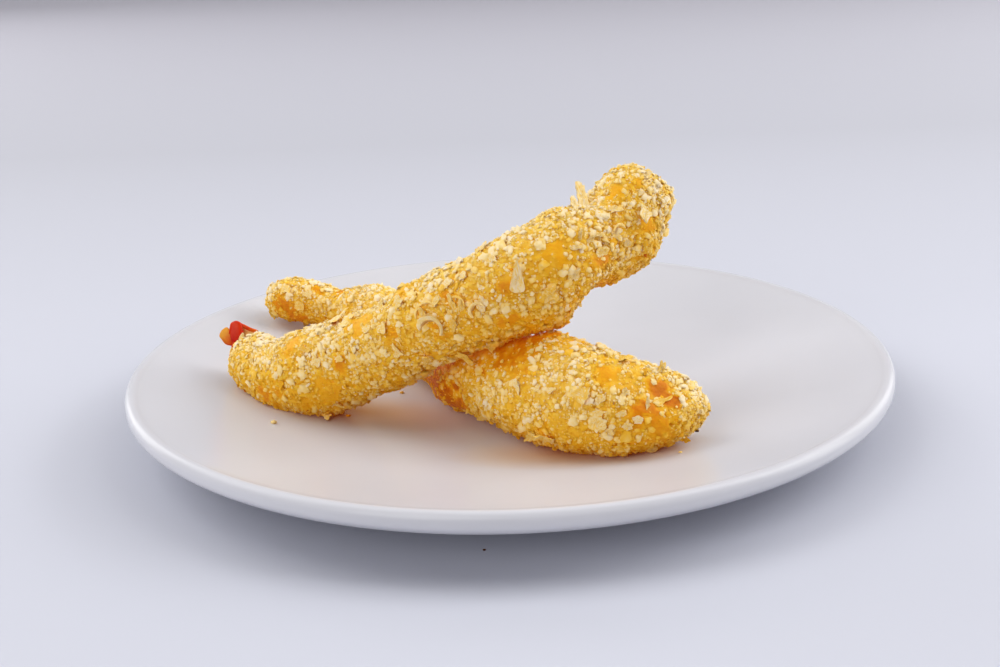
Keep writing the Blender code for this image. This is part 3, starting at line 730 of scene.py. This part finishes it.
# Place along in mm, turn in degrees, length and width in mm, tilt and heading in degrees, and tone, then
# what isn't as in the usual flake: bend per mm, how far it narrows, and rim height in mm
USUAL_FLAKE = (0.05, 0.1, 0)
UPPER_FLAKES = (
    (91.4, 9.5, 9.6, 4.2, 12, 66, 1, 0.02, 0.75), (74.6, 28, 6.4, 1.9, 34, 14, 0.88, 0.05, 0.3),
    (71.6, 13, 4.8, 1.7, 30, 70, 0.86), (79.1, 17, 4.2, 1.7, 22, 84, 0.84, 0.05, 0.2),
    (80.6, 11, 4.2, 1.5, 22, 70, 0.86, 0.05, 0.2), (77.1, -8, 5.2, 1.5, 24, 60, 0.84, 0.05, 0.2),
    (82.6, 9, 3, 1.2, 20, 66, 0.82, 0.05, 0.2), (84.1, 3, 4.8, 3, 18, 60, 1, 0.04),
    (78.1, 50, 3.6, 3, 16, 0, 0.96), (82.1, 54, 2.6, 2.2, 18, 0, 0.94),
    (66.1, 43, 4.4, 3, 16, 60, 0.9, 0.04), (89.6, 58, 2.8, 2.2, 18, 20, 0.92),
    (88.6, 84, 3, 2.2, 24, 20, 0.92), (66.1, -45, 6, 3, 18, 62, 0.86, 0.06),
    (74.1, -58, 4.2, 3, 30, -60, 0.82, 0.05, 0.2), (80.6, -62, 4, 2.6, 32, -70, 0.82, 0.05, 0.2),
    (42, 80, 7.6, 5.6, 14, 10, 0.9, 0.03), (47, 62, 4.4, 3.6, 10, 40, 0.88, 0.03),
    (38.6, 9, 3, 2.6, 14, 40, 0.94), (45.6, 4, 3.6, 2.8, 20, 10, 0.88),
    (37.1, -54, 4.8, 2.6, 30, 10, 0.9, 0.08), (31.5, -72, 4.4, 3, 18, 60, 0.92, 0.08, 0.3),
    (59.6, 24, 3, 2.9, 12, 0, 0.9, 0.05, 0), (61.1, -14, 3.2, 3.1, 12, 0, 0.94, 0.05, 0),
    (54.6, 33, 2.6, 2.2, 12, 0, 0.9, 0.05, 0), (114.8, 86, 8.4, 4.6, 72, 92, 0.9, 0.03, 0.3),
    (111.7, 80, 5, 2, 24, 60, 0.92, 0.03, 0.2), (130.2, 66, 3, 2.4, 20, 20, 0.92),
    (117.2, 48, 3.8, 2.2, 14, -28, 0.9, 0.04), (125.6, 26, 5.4, 4.4, 26, -140, 0.98, 0.02, 0.6),
    (115.2, 17, 3.2, 1.9, 16, -74, 0.92, 0.04), (116.7, -6, 2, 1.6, 16, 0, 0.94, 0.04),
    (108.2, 10, 3.6, 2.5, 14, -20, 0.88, 0.04, 0.1, 0.3), (101.7, -1, 3, 2.3, 14, 30, 0.92, 0.04),
    (106.2, 40, 2.8, 1.3, 30, 60, 0.9, 0.04), (107.7, 31, 2.8, 1.3, 30, 10, 0.9, 0.04),
    (110.2, 32, 2.8, 1.3, 30, -40, 0.9, 0.04), (104.2, 33, 3, 1.6, 16, -30, 0.92, 0.04),
    (96.2, -17, 5, 4.2, 10, 60, 0.84, 0.02),
)
LOWER_FLAKES = (
    (5.5, 46, 3.2, 2.8, 12, 0, 0.85, 0.05, 0), (13.5, 40, 3.6, 3.2, 12, 0, 0.9, 0.05, 0),
    (11.5, 7, 3.2, 2.8, 12, 0, 0.82, 0.05, 0), (125.5, 21, 4.4, 2.1, 24, 105, 0.96, 0.05, 0.2),
    (129, 26, 3.8, 2.4, 20, 20, 0.92, 0.05, 0.5), (132, 27, 2.8, 2, 16, 10, 0.94),
    (131.5, -36, 6, 3.6, 22, 105, 0.9, 0.04), (137.2, 28, 5.2, 4.8, 8, 0, 0.84, 0, 0, 0.6),
    (140.3, -2, 4, 3.6, 10, 0, 0.92, -0.03, 0), (140.5, 24, 2.6, 1.8, 18, 30, 0.9),
    (144.5, 33, 3.2, 1.8, 20, 60, 0.92), (145, -3, 2.4, 1.8, 16, 0, 0.94), (146.5, 3, 2.4, 2, 16, 0, 1),
    (144, 9, 2.8, 1.6, 18, 20, 0.9), (140, 9, 4.2, 1.5, 22, 12, 0.9), (142.5, -10, 2.2, 1.8, 16, 0, 0.92),
    (141.5, -16, 2.4, 1.8, 16, 0, 0.92), (148, 18, 2.8, 1, 30, 90, 0.94),
    (149.5, 28, 4.2, 1.8, 14, 10, 0.7), (151.5, 86, 3.4, 2.2, 60, 90, 0.8, 0.05, 0.3),
    (129, -30, 4.4, 3.2, 20, 200, 0.86),
)


def halves(quads):
    """The two triangles of each quad."""
    return np.vstack([quads[:, [0, 1, 2]], quads[:, [0, 2, 3]]])


def flake_disc():
    """A unit disc of rings round a middle point, and the triangles of its faces and of its edge."""
    share = np.linspace(0, 1, FLAKE_RINGS)[1:]
    turn = turns(FLAKE_SIDES)
    ring = np.stack([np.outer(share, np.cos(turn)), np.outer(share, np.sin(turn))], -1).reshape(-1, 2)
    face = np.vstack([ring, [(0, 0)]])
    count = len(face)
    quads = tube_faces(len(share), FLAKE_SIDES)
    top = np.vstack([halves(quads), pole_faces(0, FLAKE_SIDES, count - 1, True)])
    last = (len(share) - 1) * FLAKE_SIDES + np.arange(FLAKE_SIDES)
    following = np.roll(last, -1)
    band = halves(np.stack([last, following, following + count, last + count], -1))
    return face, np.vstack([top[:, ::-1], top + count, band[:, ::-1]])


def flake_shapes(rows, draw):
    """Thin curled flakes: the disc stretched from its root, its outline uneven by waves and broken to three
    to six corners, narrowed to its tip, bent along its length and rippled, 0.6 mm thick."""
    face, triangles = flake_disc()
    length, width, bend, narrow, rim = (rows[:, k : k + 1] for k in (2, 3, 6, 7, 8))
    count = len(rows)
    radius, turn = np.hypot(*face.T), np.arctan2(face[:, 1], face[:, 0])
    pointed = narrow > 0.6
    ragged = np.where(pointed, 0.03, 0.2)
    uneven = np.ones((count, len(face)))
    for wave in (2, 3, 4, 5, 7, 9, 11):
        size = ragged * draw.normal(0, wave**-0.7, (count, 1))
        uneven += size * np.cos(wave * turn + draw.uniform(0, 2 * np.pi, (count, 1)))
    wedge = 2 * np.pi / np.where(pointed, 3, draw.integers(3, 7, (count, 1)))
    start = np.where(pointed, 0, draw.uniform(0, 2 * np.pi, (count, 1)))
    angle = (turn + start) % wedge - 0.5 * wedge
    uneven *= 1 - 0.8 * (1 - 1.15 * np.cos(0.5 * wedge) / np.cos(angle))
    uneven += 0.35 * ragged * radius * draw.uniform(-1, 1, (count, len(face)))
    x, y = face[:, 0] * uneven, face[:, 1] * uneven
    y = y * (1 - np.where(pointed, 0.2, narrow) * np.clip(0.5 + 0.5 * x, 0, 1))
    x, y = length * (0.5 * x + 0.3), 0.5 * width * y
    lift = bend * (x - 0.3 * length) ** 2 + rim * np.exp(-(((radius - 0.82) / 0.16) ** 2))
    lift += 0.12 * np.sin(1.9 * x + draw.uniform(0, 2 * np.pi, (count, 1)))
    lift += draw.normal(0, 0.11, (count, len(face)))
    thick = 0.3 * np.sqrt(1 - 0.8 * radius**2) * (1 + draw.uniform(-0.25, 0.25, (count, len(face))))
    upper_face = np.stack([x, y, lift + thick], -1)
    lower_face = np.stack([x, y, lift - thick], -1)
    return np.concatenate([upper_face, lower_face], axis=1), triangles


def flakes(body, other, shown, strewn, seed):
    """The shown flakes and strewn ones, on their coat, as points, triangles, tones and normals."""
    draw = np.random.default_rng(seed)
    length = draw.uniform(1.8, 3.4, strewn)
    columns = (
        draw.uniform(5, body["places"][-1] - 6, strewn),
        draw.uniform(-180, 180, strewn),
        length,
        length * draw.uniform(0.4, 0.85, strewn),
        *(draw.uniform(low, high, strewn) for low, high in ((4, 34), (0, 360), (-0.06, 0.12), (0, 0.5))),
        np.zeros(strewn),
        draw.normal(0.74, 0.1, strewn).clip(0.4, 0.95),
    )
    full = [(*row[:6], *row[7:], *USUAL_FLAKE[len(row) - 7 :], row[6]) for row in shown]
    rows = np.vstack([full, np.stack(columns, -1)])
    at = grid_place(body, rows[:, 0], rows[:, 1])
    shapes, triangles = flake_shapes(rows, draw)
    axes = on_coat(body, at, rows[:, 4], rows[:, 5])
    out = body["normal"][at]
    shapes = np.einsum("kvi,kij->kvj", shapes, axes) + (body["outer"][at] + out * 0.15)[:, None]
    kept = settled(shapes, other)
    kept[len(shown) :] &= body["thick"][at][len(shown) :] > 0.5
    # Paler on top: painted light from above.
    tone = rows[:, 9:] - 0.16 + 0.5 * PAINTED_TOP_LIGHT * out[:, 2:]
    tone = tone + 0.12 * draw.standard_normal(shapes.shape[:2])
    half = shapes.shape[1] // 2
    sheet = 0.5 * (shapes[:, :half] + shapes[:, half:])
    own_normals = unit(shapes - np.concatenate([sheet, sheet], axis=1))
    normals = 0.6 * own_normals + 0.5 * out[:, None]
    return *joined(shapes[kept], triangles), tone[kept].ravel(), normals[kept]


# Curled strips on the upper shrimp: place along, turn, radius of the arc, start and end of the arc in
# degrees from the way along, width in mm at its middle, and tone
CURLS = (
    (72.2, 0, 2.7, 165, -50, 2.9, 0.92), (72.8, 15, 3.4, 170, 40, 1.1, 0.84),
    (83.6, 3, 1.9, 215, 20, 1.3, 0.9), (79.6, 18, 2.2, 95, -20, 1, 0.8),
    (116.2, 14, 1.8, 150, 10, 1.1, 0.84),
)
CURL_RINGS = 22
CURL_SIDES = 10
# Thickness in mm, height of its middle over the coat in mm, and lean of its section in degrees
CURL_THICKNESS = 0.44
CURL_HEIGHT = 0.9
CURL_LEAN = 40.0


def curls(body, rows):
    """Strips of crumb curled into arcs: flat ovals carried along each, their outer edge raised, widest in
    the middle. Points, triangles, tones and normals."""
    draw = np.random.default_rng(83)
    rows = np.array(rows)
    radius, start, end, width = (rows[:, k, None, None] for k in (2, 3, 4, 5))
    share = np.linspace(0, 1, CURL_RINGS)[:, None]
    turn = turns(CURL_SIDES)
    angle = np.radians(start + (end - start) * share)
    wide = 0.5 * width * np.maximum(0.1, np.sin(np.pi * share) ** 0.5)
    wide = wide * (1 + 0.12 * draw.standard_normal((len(rows), CURL_RINGS, 1)))
    out, up = wide * np.cos(turn), 0.5 * CURL_THICKNESS * np.sin(turn)
    lean = np.radians(CURL_LEAN)
    reach = radius + out * np.cos(lean) - up * np.sin(lean)
    height = CURL_HEIGHT + out * np.sin(lean) + up * np.cos(lean) + 0.04 * draw.standard_normal(out.shape)
    shapes = np.stack([reach * np.cos(angle), reach * np.sin(angle), height], -1).reshape(len(rows), -1, 3)
    at = grid_place(body, rows[:, 0], rows[:, 1])
    axes = on_coat(body, at, np.zeros(len(rows)), np.zeros(len(rows)))
    shapes = np.einsum("kvi,kij->kvj", shapes, axes) + body["outer"][at][:, None]
    after = np.arange(2, CURL_SIDES)
    caps = np.stack([np.zeros(CURL_SIDES - 2, int), after - 1, after], -1)
    last = (CURL_RINGS - 1) * CURL_SIDES
    triangles = np.vstack([halves(tube_faces(CURL_RINGS, CURL_SIDES)), caps[:, ::-1], caps + last])
    middles = shapes.reshape(len(rows), CURL_RINGS, CURL_SIDES, 3).mean(axis=2)
    normals = shapes - middles.repeat(CURL_SIDES, axis=1)
    tone = rows[:, 6:] - 0.1 + 0.06 * draw.standard_normal(shapes.shape[:2])
    return *joined(shapes, triangles), tone.ravel(), normals


crumb_object("upper_curls", *curls(upper, CURLS), crumb_finish)
for label, body, other, shown, seed in (
    ("lower", lower, upper, LOWER_FLAKES, 61),
    ("upper", upper, lower, UPPER_FLAKES, 73),
):
    crumb_object(f"{label}_flakes", *flakes(body, other, shown, STREWN_FLAKES, seed), crumb_finish)


# The tail. Blades of the shrimp's own tail shell, which turns red when it is fried, and the thin
# batter between them, stand 5 mm out of the end of the upper shrimp's coat.

# Root, tip and width in mm of each blade, and how far its colour runs, from red to pale batter
TAIL_BLADES = (
    ((-72.7, 3.4, 20.8), (-76.9, 4.2, 24.6), 3.8, 0.1, 0.7),
    ((-72.8, 3.2, 19.4), (-72.8, 3.9, 27.2), 3.6, 0, 0.2),
    ((-71.8, 4.2, 19.6), (-69.4, 4.7, 24.8), 4.4, 0.6, 0.9),
    ((-71.9, 4.5, 26.2), (-67.3, 4.8, 23.6), 1, 0.2, 0.4),
    ((-73.4, 2.2, 21.8), (-74.9, 1.8, 16), 1.2, 0.25, 0.45),
)
TAIL_THICKNESS = 1.3
TAIL_BOW = 0.7
BLADE_RINGS = 30
BLADE_SIDES = 28


def blade_points(root, tip, width):
    """A flat oval carried from the root to the tip, bowed, ribbed, widening, and closed in a round tip."""
    lean = np.array(tip) - root
    across = np.cross(lean, (0, 1, 0))
    through = np.cross(lean, across)
    across, through = across / np.linalg.norm(across), through / np.linalg.norm(through)
    share = np.linspace(0, 1, BLADE_RINGS)[:, None]
    turn = turns(BLADE_SIDES)
    swell = 0.55 + 0.45 * np.sin(0.5 * np.pi * np.minimum(1, 1.6 * share))
    ragged = 1 + 0.12 * np.cos(7 * turn + 2 * width) + 0.1 * np.cos(9 * share + 4 * width)
    wide = 0.5 * width * np.maximum(0.2, swell * np.sqrt(1 - share**12)) * ragged
    ribs = 1 + 0.18 * np.cos(5 * np.pi * np.cos(turn)) * np.abs(np.sin(turn))
    thick = 0.5 * TAIL_THICKNESS * (1 - 0.5 * share) * ribs
    bow = TAIL_BOW * np.sin(np.pi * share)
    flat = (wide * np.cos(turn))[..., None] * across
    middle = np.array(root) + lean * share
    return middle[:, None] + flat + (thick * np.sin(turn) + bow)[..., None] * through


def tail_shell():
    """Fried shrimp shell: satin, deep red, running to orange and to the colour of thin batter."""
    material, tree, place = new_material("fried_shrimp_shell")
    share = add_node(tree, "Attribute", {"attribute_name": "share"}).outputs["Fac"]
    blotch = add_node(tree, "TexNoise", Vector=place, Scale=1 / (1.8 * MM), Detail=2)
    moved = add_node(tree, "Math", {"operation": "MULTIPLY_ADD"}, n0=blotch, n1=0.3, n2=share)
    stops = ((0.15, "#C81404"), (0.4, "#D83A08"), (0.62, "#DE7A14"), (0.8, "#EAA234"), (1, "#F2C47C"))
    grain = add_node(tree, "TexNoise", Vector=place, Scale=1 / (0.6 * MM), Detail=2)
    shader = add_node(
        tree, "BsdfPrincipled", Base_Color=add_node(tree, "ValToRGB", stops=stops, Fac=moved),
        Roughness=0.42, Normal=add_node(tree, "Bump", Strength=0.4, Distance=0.1 * MM, Height=grain),
        IOR=1.45, Specular_IOR_Level=0.25, Subsurface_Weight=0.2, Subsurface_Radius=(1, 0.3, 0.12),
        Subsurface_Scale=0.8 * MM,
    )
    return finish_material(material, shader)


blade_share = np.repeat(np.linspace(0, 1, BLADE_RINGS), BLADE_SIDES)
tail_points, tail_quads, tail_triangles, tail_shares = [], [], [], []
for number, (root, tip, width, near_colour, far_colour) in enumerate(TAIL_BLADES):
    blade = blade_points(root, tip, width)
    start = number * (BLADE_RINGS * BLADE_SIDES + 2)
    tail_points += [blade.reshape(-1, 3), blade[0].mean(0)[None], blade[-1].mean(0)[None]]
    tail_quads.append(tube_faces(BLADE_RINGS, BLADE_SIDES) + start)
    tail_triangles.append(end_faces(BLADE_RINGS, BLADE_SIDES) + start)
    tail_shares += [near_colour + (far_colour - near_colour) * blade_share, [near_colour, far_colour]]
tail = make_object(
    "upper_tail_fan", np.vstack(tail_points), tail_shell(), np.vstack(tail_quads), np.vstack(tail_triangles)
)
set_values(tail, "share", np.concatenate(tail_shares))
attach(tail, "root")
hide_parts("upper_tail")


# Fallen crumbs. A few grains of the coat that dropped on the plate, one of them fried brown.

# Place across and in depth in mm, length in mm, and tone
FALLEN = (
    (-59.1, -28.8, 1.6, 0.8), (-41.6, -20.3, 1.2, 0.25), (-28.8, -3.3, 1.2, 0.7), (38.7, -57.3, 1, 0.75),
)

fallen = np.array(FALLEN)
shapes, triangles = crumb_shapes(2, fallen[:, 2], np.random.default_rng(5))
shapes[..., :2] += fallen[:, None, :2]
shapes[..., 2] += plate_under(fallen)[:, None] - shapes[..., 2].min(axis=1)[:, None] + 0.02
crumb_object(
    "fallen_crumbs", *joined(shapes, triangles), np.repeat(fallen[:, 3], shapes.shape[1]),
    shapes - shapes.mean(axis=1, keepdims=True), crumb_finish,
)


# Burnt specks. Four grains of burnt crumb, under a millimetre: three stuck to the coats, and one meant for
# the plate's outer wall, which hangs 3 mm below and before it; its place there is (-8.2, -99.5, 15.8).

# Shrimp, place along in mm, turn in degrees, size in mm; then the one at the wall: its place and size
SPECKS = ((upper, 132.2, 35.5, 0.6), (upper, 126.7, -53.9, 0.6), (lower, 160.5, -35.3, 0.9))
WALL_SPECK = (-6.2, -99.3, 9, 0.7)


def burnt_crumb():
    """Burnt crumb: matt, nearly black, a little brown."""
    material, tree, place = new_material("burnt_crumb")
    char = add_node(tree, "TexNoise", Vector=place, Scale=1 / (0.3 * MM), Detail=2)
    stops = ((0.3, "#2A160C"), (0.7, "#55301A"))
    colour = add_node(tree, "ValToRGB", stops=stops, Fac=char)
    shader = add_node(tree, "BsdfPrincipled", Base_Color=colour, Roughness=0.8, Specular_IOR_Level=0.2)
    return finish_material(material, shader)


speck_places = []
for body, place, turn, _ in SPECKS:
    at = grid_place(body, place, turn)
    speck_places.append(body["outer"][at] + 0.4 * body["normal"][at])
speck_places.append(WALL_SPECK[:3])
sizes = np.array([speck[3] for speck in (*SPECKS, WALL_SPECK)])
shapes, triangles = crumb_shapes(2, sizes, np.random.default_rng(9))
points, triangles = joined(shapes + np.array(speck_places)[:, None], triangles)
specks = make_object("burnt_specks", points, burnt_crumb(), triangles=triangles)
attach(specks, "root")


# The studio. A pale, faintly blue sweep of paper lies under the plate, painted dimmer behind it where the
# light falls off, and curves up 1.5 m away. Seven large soft boxes stand round it, 1.6 m away, the lower
# ones weaker.

SWEEP_BEND_START = 1500.0
SWEEP_BEND_RADIUS = 600.0
SWEEP_HALF_WIDTH = 3500.0
SWEEP_FRONT = -3500.0
SWEEP_WALL_HEIGHT = 1800.0
PAPER = "#C9CBD6"
# Colours further back, dimmer, then a little lighter again: painted shade where the light falls off
PAPER_PAINTED_DIM = "#BCBDC6"
PAPER_PAINTED_FAR = "#CCCBD5"
ROOM_LIGHT = "#FFE6E2"
ROOM_STRENGTH = 0.05


def sweep_points():
    """A strip from front to back: flat, then a quarter circle, then a wall."""
    turn = np.linspace(0, 0.5 * np.pi, 40)
    bend = SWEEP_BEND_START + SWEEP_BEND_RADIUS * np.sin(turn)
    y = np.r_[SWEEP_FRONT, bend, SWEEP_BEND_START + SWEEP_BEND_RADIUS]
    z = np.r_[0, SWEEP_BEND_RADIUS * (1 - np.cos(turn)), SWEEP_BEND_RADIUS + SWEEP_WALL_HEIGHT]
    x = np.linspace(-SWEEP_HALF_WIDTH, SWEEP_HALF_WIDTH, 9)
    return np.stack([np.broadcast_to(x, (len(y), 9)), y[:, None] + 0 * x, z[:, None] + 0 * x], -1)


def backdrop_paper():
    """Matt seamless paper, its colour painted dimmer with depth behind the plate: painted shade where the
    light falls off.
    """
    material, tree, place = new_material("seamless_paper")
    depth = add_node(tree, "SeparateXYZ", Vector=place).outputs["Y"]
    far = add_node(tree, "MapRange", Value=depth, From_Min=0.05, From_Max=1.25)
    stops = ((0, PAPER), (0.3, PAPER_PAINTED_DIM), (1, PAPER_PAINTED_FAR))
    colour = add_node(tree, "ValToRGB", stops=stops, Fac=far)
    return finish_material(material, add_node(tree, "BsdfPrincipled", Base_Color=colour, Roughness=0.9))


sweep = sweep_points()
row, column = np.meshgrid(np.arange(sweep.shape[0] - 1), np.arange(sweep.shape[1] - 1), indexing="ij")
corner = row * sweep.shape[1] + column
next_row = corner + sweep.shape[1]
sweep_quads = np.stack([corner, corner + 1, next_row + 1, next_row], -1).reshape(-1, 4)
floor = make_object("backdrop", sweep.reshape(-1, 3), backdrop_paper(), sweep_quads)


def soft_light(name, place, size, power):
    """A white rectangular soft box at a place in mm, turned to the object."""
    data = bpy.data.lights.new(name, "AREA")
    data.shape = "RECTANGLE"
    data.size, data.size_y = size[0] * MM, size[1] * MM
    data.energy = power
    light = scene_object(name, data)
    z = np.array(place, float) - LIGHT_TARGET
    z /= np.linalg.norm(z)
    x = np.cross((0, 1, 0), z)
    x /= np.linalg.norm(x)
    light.matrix_world = Matrix(np.c_[x, np.cross(z, x), z, np.array(place) * MM].tolist()).to_4x4()


LIGHT_TARGET = (0, 0, 20)
# Name, place and size in mm, and power in watts
SOFTBOXES = (
    ("top_softbox", (0, 278, 1576), (1200, 1000), 5),
    ("right_softbox", (1029, 0, 1226), (1200, 1000), 9.3),
    ("left_softbox", (-1029, 0, 1226), (1200, 1000), 10.6),
    ("low_right_softbox", (1504, 0, 620), (1200, 900), 11.8),
    ("back_left_softbox", (-1165, 978, 560), (1200, 900), 9.2),
    ("back_right_softbox", (1165, 978, 560), (1200, 900), 7),
    ("front_left_softbox", (-736, -1280, 640), (1200, 900), 10.5),
)
for name, place, size, power in SOFTBOXES:
    soft_light(name, place, size, power)

world = bpy.data.worlds.new("studio_room")
world.use_nodes = True
background = world.node_tree.nodes["Background"]
background.inputs["Color"].default_value = linear(ROOM_LIGHT)
background.inputs["Strength"].default_value = ROOM_STRENGTH
bpy.context.scene.world = world


# The camera. A 50 mm lens 372 mm from the plate's middle, about 19 degrees above the table.

# Angles in degrees, pitch downwards, and lengths in mm
CAMERA_ELEVATION = 18.88683
CAMERA_DISTANCE = 372.101
CAMERA_AIM_HEIGHT = 17.0
CAMERA_YAW = -0.325886
CAMERA_PITCH = 18.113856
CAMERA_ROLL = -2.139318


def camera_matrix():
    """The camera's place and its axes: right, up and back."""
    elevation, yaw, pitch, roll = (
        math.radians(v) for v in (CAMERA_ELEVATION, CAMERA_YAW, CAMERA_PITCH, CAMERA_ROLL)
    )
    height = CAMERA_DISTANCE * math.sin(elevation) + CAMERA_AIM_HEIGHT
    place = np.array((0, -CAMERA_DISTANCE * math.cos(elevation), height))
    ahead = np.array((math.sin(yaw) * math.cos(pitch), math.cos(yaw) * math.cos(pitch), -math.sin(pitch)))
    level = np.cross(ahead, (0, 0, 1))
    level /= np.linalg.norm(level)
    above = np.cross(level, ahead)
    right = math.cos(roll) * level + math.sin(roll) * above
    up = -math.sin(roll) * level + math.cos(roll) * above
    return Matrix(np.c_[right, up, -ahead, place * MM].tolist()).to_4x4()


camera_data = bpy.data.cameras.new("camera")
camera_data.lens = 50
camera_data.sensor_width = 36
camera_data.clip_start = 0.01
camera = scene_object("camera", camera_data)
camera.matrix_world = camera_matrix()
bpy.context.scene.camera = camera
bpy.context.scene.view_settings.view_transform = "Standard"
